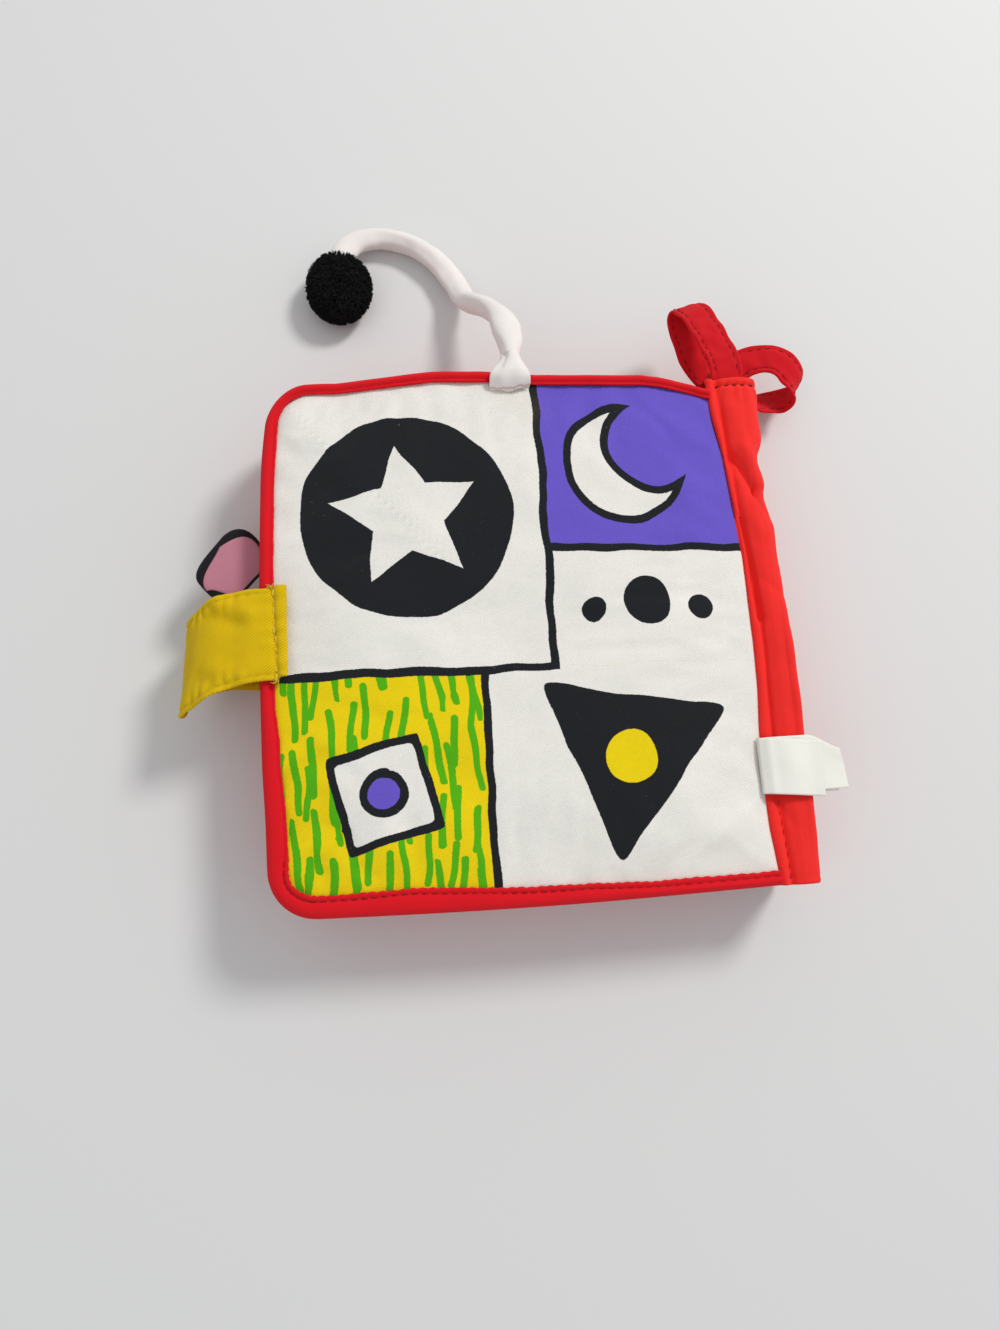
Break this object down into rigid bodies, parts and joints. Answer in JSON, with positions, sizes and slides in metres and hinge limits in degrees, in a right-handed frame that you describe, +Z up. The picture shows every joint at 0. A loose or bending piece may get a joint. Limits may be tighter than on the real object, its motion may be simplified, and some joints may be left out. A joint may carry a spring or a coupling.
{
  "type": "cloth book",
  "caption": "Closed padded cloth book for babies with bound edges, a printed cover, a closure strap, a tape handle, a care label, a flap ear and a tasselled tail",
  "frame": {"origin": "Middle of the front cover's flat rest face, on the surface the closed book lies on", "axes": "+X to the spine, +Y to the edge with the tail and the handle, +Z up out of the back cover"},
  "size_m": [0.1978, 0.2209, 0.0327],
  "materials": {
    "printed_cloth": "cotton twill with a bold patchwork print of plain shapes, matte",
    "page_cloth": "plain off-white cotton twill, matte",
    "wadding": "polyester wadding, hidden",
    "edge_binding": "red woven binding with a machine stitch along it, matte",
    "spine_cloth": "bright red cotton twill, puckered at the stitch lines",
    "strap_cloth": "mustard yellow cotton, two layers, stitched",
    "hook_and_loop": "hook and loop tape, fibrous",
    "handle_tape": "red woven tape with a stitch along each edge",
    "label_satin": "white satin care label, blank",
    "ear_border": "black cotton, matte",
    "ear_cloth": "dusty pink cotton, matte",
    "tail_jersey": "pale pinkish jersey tube, loosely stuffed",
    "black_plush": "black long-pile plush"
  },
  "bodies": {
    "front_cover": {"front_outer_cloth": "printed_cloth", "front_inner_cloth": "page_cloth", "front_wadding": "wadding", "front_binding": "edge_binding", "front_spine_half": "spine_cloth", "loop_patch": "hook_and_loop"},
    "page_1": {"page_1_lower_cloth": "page_cloth", "page_1_upper_cloth": "page_cloth", "page_1_wadding": "wadding", "page_1_binding": "edge_binding", "page_1_gutter": "spine_cloth"},
    "page_2": {"page_2_lower_cloth": "page_cloth", "page_2_upper_cloth": "page_cloth", "page_2_wadding": "wadding", "page_2_binding": "edge_binding", "page_2_gutter": "spine_cloth"},
    "back_cover": {"back_inner_cloth": "page_cloth", "back_outer_cloth": "printed_cloth", "back_wadding": "wadding", "back_binding": "edge_binding", "back_spine_half": "spine_cloth", "strap_sewn_end": "strap_cloth", "handle_sewn_end_upper": "handle_tape", "handle_sewn_end_lower": "handle_tape"},
    "strap": {"closure_strap": "strap_cloth", "hook_patch": "hook_and_loop"},
    "label": {"label_bottom": "label_satin", "label_middle": "label_satin", "label_top": "label_satin"},
    "ear": {"ear_back": "ear_border", "ear_face": "ear_cloth"},
    "handle": {"handle_tape": "handle_tape"},
    "tail": {"tail_base": "tail_jersey", "tail_cord": "tail_jersey", "tail_tuft": "black_plush"}
  },
  "joints": [
    {"name": "page_1_turn", "type": "hinge", "parent": "front_cover", "child": "page_1", "pos_m": [0.083, 0, 0.01445], "axis": [0, 1, 0], "range_deg": [0, 180]},
    {"name": "page_2_turn", "type": "hinge", "parent": "page_1", "child": "page_2", "pos_m": [0.083, 0, 0.01445], "axis": [0, 1, 0], "range_deg": [0, 180]},
    {"name": "back_cover_turn", "type": "hinge", "parent": "page_2", "child": "back_cover", "pos_m": [0.083, 0, 0.01445], "axis": [0, 1, 0], "range_deg": [0, 180]},
    {"name": "strap_lift", "type": "hinge", "parent": "back_cover", "child": "strap", "pos_m": [-0.0685, 0, 0.0305], "axis": [0, -1, 0], "range_deg": [-150, 0]},
    {"name": "label_flip", "type": "hinge", "parent": "back_cover", "child": "label", "pos_m": [0.0671, -0.043, 0.0284], "axis": [0, 1, 0], "range_deg": [-150, 0]},
    {"name": "ear_flap", "type": "hinge", "parent": "page_2", "child": "ear", "pos_m": [-0.0689, 0.0203, 0.0182], "axis": [0, 1, 0], "range_deg": [-35, 20], "stiffness_Nm_per_rad": 0.004},
    {"name": "handle_lift", "type": "hinge", "parent": "back_cover", "child": "handle", "pos_m": [0.0725, 0.0753, 0.0255], "axis": [-1, 0, 0], "range_deg": [-95, 0]},
    {"name": "tail_swing", "type": "hinge", "parent": "back_cover", "child": "tail", "pos_m": [0.0049, 0.0745, 0.03], "axis": [0, 0, 1], "range_deg": [-45, 15]}
  ]
}
